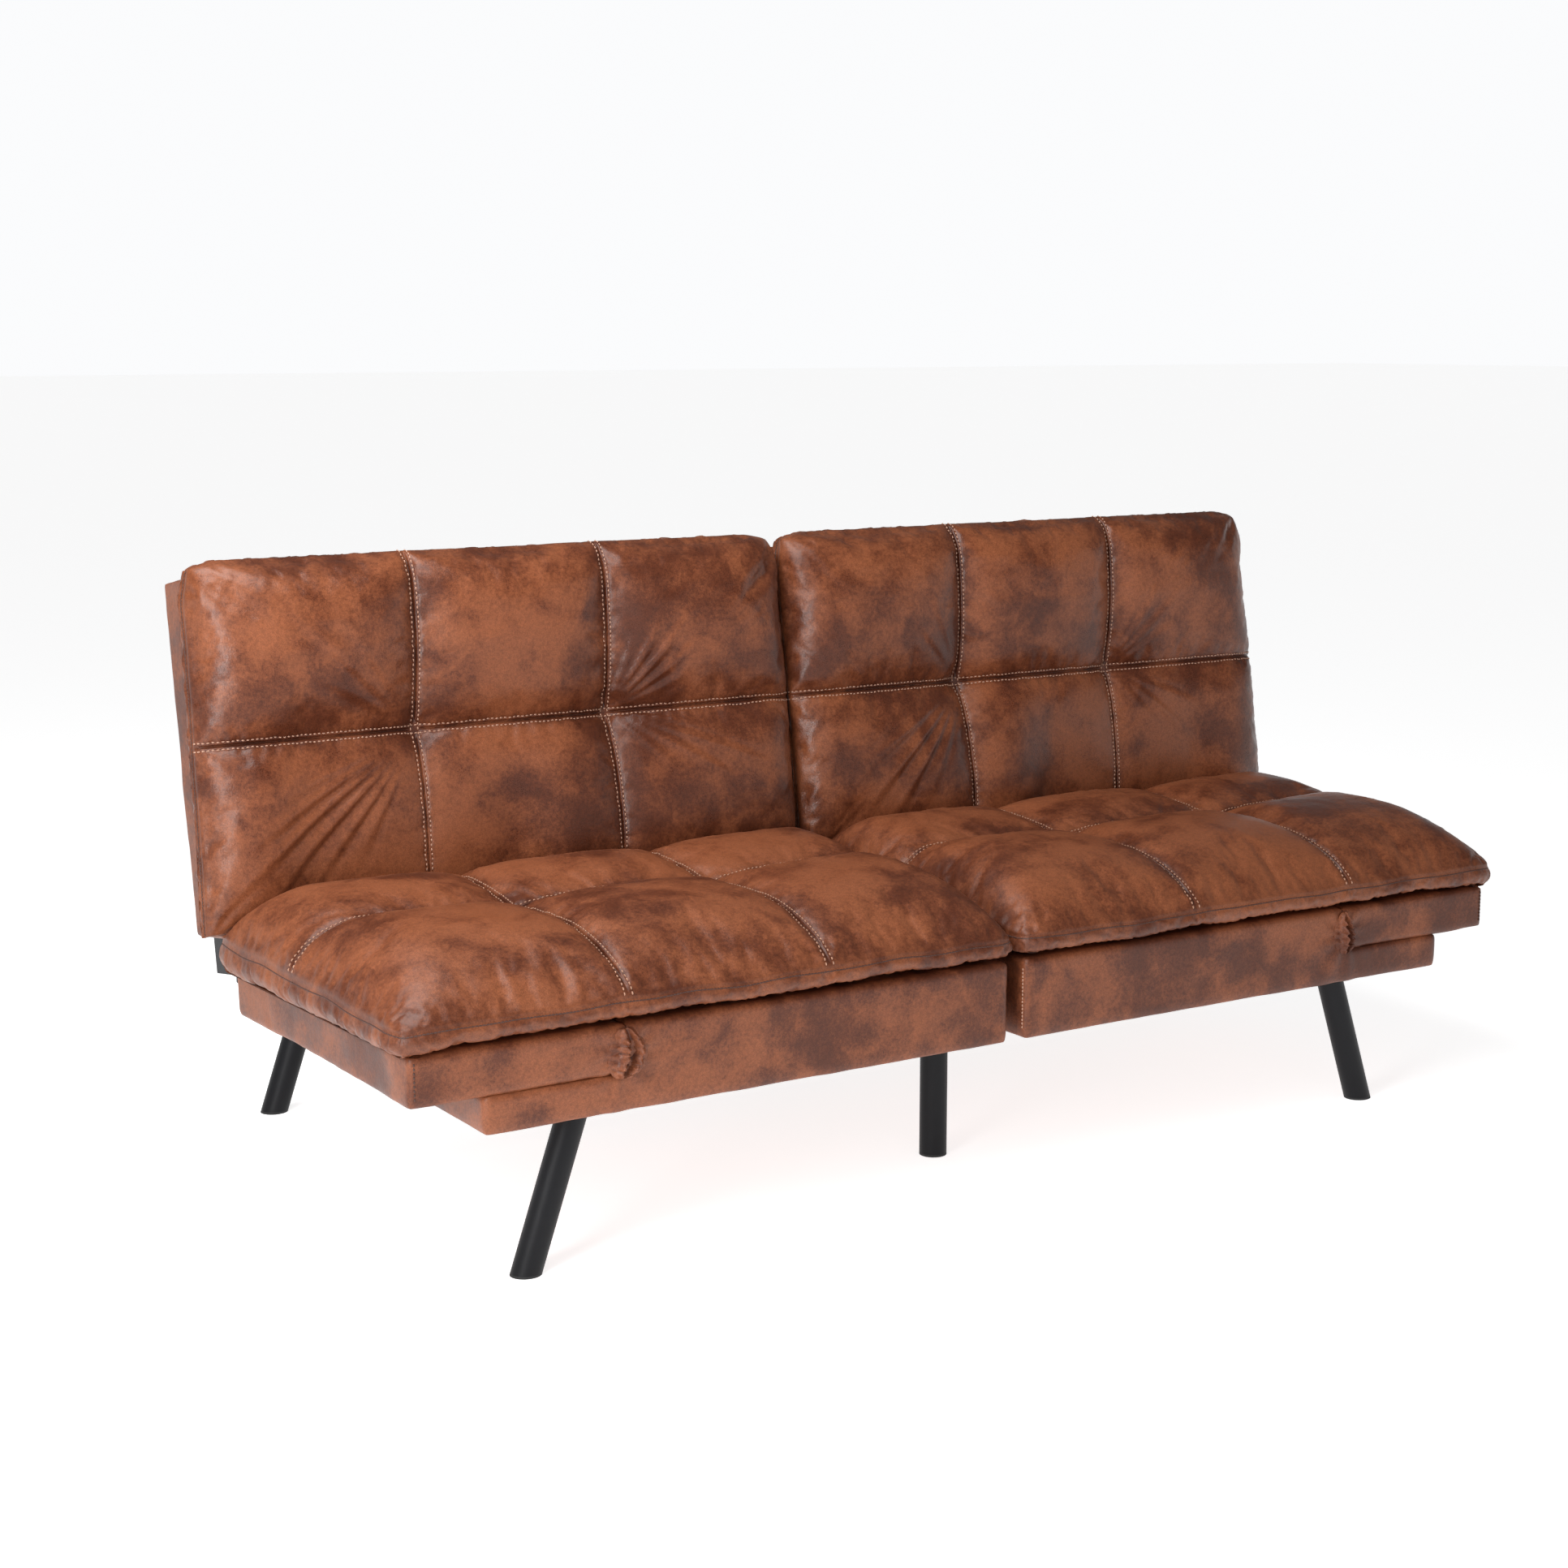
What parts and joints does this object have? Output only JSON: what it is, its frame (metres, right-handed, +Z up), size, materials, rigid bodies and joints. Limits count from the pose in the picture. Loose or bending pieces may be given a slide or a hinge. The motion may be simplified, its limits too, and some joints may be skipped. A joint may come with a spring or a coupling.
{
  "type": "futon sofa bed",
  "caption": "Convertible futon sofa bed: split backrest that folds flat, folding armrests, tufted pads over slim upholstered seat boxes, splayed tube legs.",
  "frame": {"origin": "on the floor under the middle of the sofa's bounding box", "axes": "+X across the sofa, to the right as seen from the front; +Y from the front towards the backrest; +Z up"},
  "size_m": [1.794, 0.92, 0.832],
  "materials": {
    "faux_leather": "satin",
    "leather_pad": "satin",
    "pine": "matte",
    "plywood": "matte",
    "dust_cloth": "matte",
    "black_rubber": "matte",
    "zinc_steel": "satin",
    "black_steel": "satin"
  },
  "bodies": {
    "frame": {"side_rail_left": "black_steel", "side_rail_right": "black_steel", "middle_rail": "black_steel", "rear_rail": "black_steel", "pivot_beam": "black_steel", "beam_post_left": "black_steel", "beam_post_right": "black_steel", "front_leg_left": "black_steel", "front_leg_right": "black_steel", "rear_leg_left": "black_steel", "rear_leg_right": "black_steel", "middle_leg": "black_steel", "front_foot_cap_left": "black_rubber", "front_foot_cap_right": "black_rubber", "rear_foot_cap_left": "black_rubber", "rear_foot_cap_right": "black_rubber", "middle_foot_cap": "black_rubber", "leg_screws": "zinc_steel", "rest_buffers": "black_rubber", "pivot_bolts": "black_steel", "seat_frame_left": "pine", "seat_deck_left": "plywood", "seat_cover_left": "faux_leather", "dust_cover_left": "dust_cloth", "seat_pad_left": "leather_pad", "hinge_gusset_left": "faux_leather", "arm_hinge_base_left": "zinc_steel", "arm_hinge_pins_left": "zinc_steel", "seat_frame_right": "pine", "seat_deck_right": "plywood", "seat_cover_right": "faux_leather", "dust_cover_right": "dust_cloth", "seat_pad_right": "leather_pad", "hinge_gusset_right": "faux_leather", "arm_hinge_base_right": "zinc_steel", "arm_hinge_pins_right": "zinc_steel"},
    "armrest_left": {"arm_hinge_leaf_left": "zinc_steel", "armrest_frame_left": "pine", "armrest_cover_left": "faux_leather", "armrest_pad_left": "leather_pad"},
    "armrest_right": {"arm_hinge_leaf_right": "zinc_steel", "armrest_frame_right": "pine", "armrest_cover_right": "faux_leather", "armrest_pad_right": "leather_pad"},
    "backrest_left": {"back_frame_left": "pine", "back_cover_left": "faux_leather", "back_pad_left": "leather_pad", "back_bracket_outer_left": "black_steel", "back_bracket_inner_left": "black_steel", "bracket_bolts_left": "black_steel"},
    "backrest_right": {"back_frame_right": "pine", "back_cover_right": "faux_leather", "back_pad_right": "leather_pad", "back_bracket_outer_right": "black_steel", "back_bracket_inner_right": "black_steel", "bracket_bolts_right": "black_steel"}
  },
  "joints": [
    {"name": "backrest_left_recline", "type": "hinge", "parent": "frame", "child": "backrest_left", "pos_m": [-0.45, 0.13, 0.304], "axis": [-1, 0, 0], "range_deg": [0, 80.7]},
    {"name": "armrest_left_fold", "type": "hinge", "parent": "frame", "child": "armrest_left", "pos_m": [-0.5883, -0.186, 0.312], "axis": [0, 1, 0], "range_deg": [0, 75]},
    {"name": "backrest_right_recline", "type": "hinge", "parent": "frame", "child": "backrest_right", "pos_m": [0.45, 0.13, 0.304], "axis": [-1, 0, 0], "range_deg": [0, 80.7]},
    {"name": "armrest_right_fold", "type": "hinge", "parent": "frame", "child": "armrest_right", "pos_m": [0.5883, -0.186, 0.312], "axis": [0, -1, 0], "range_deg": [0, 75]}
  ]
}
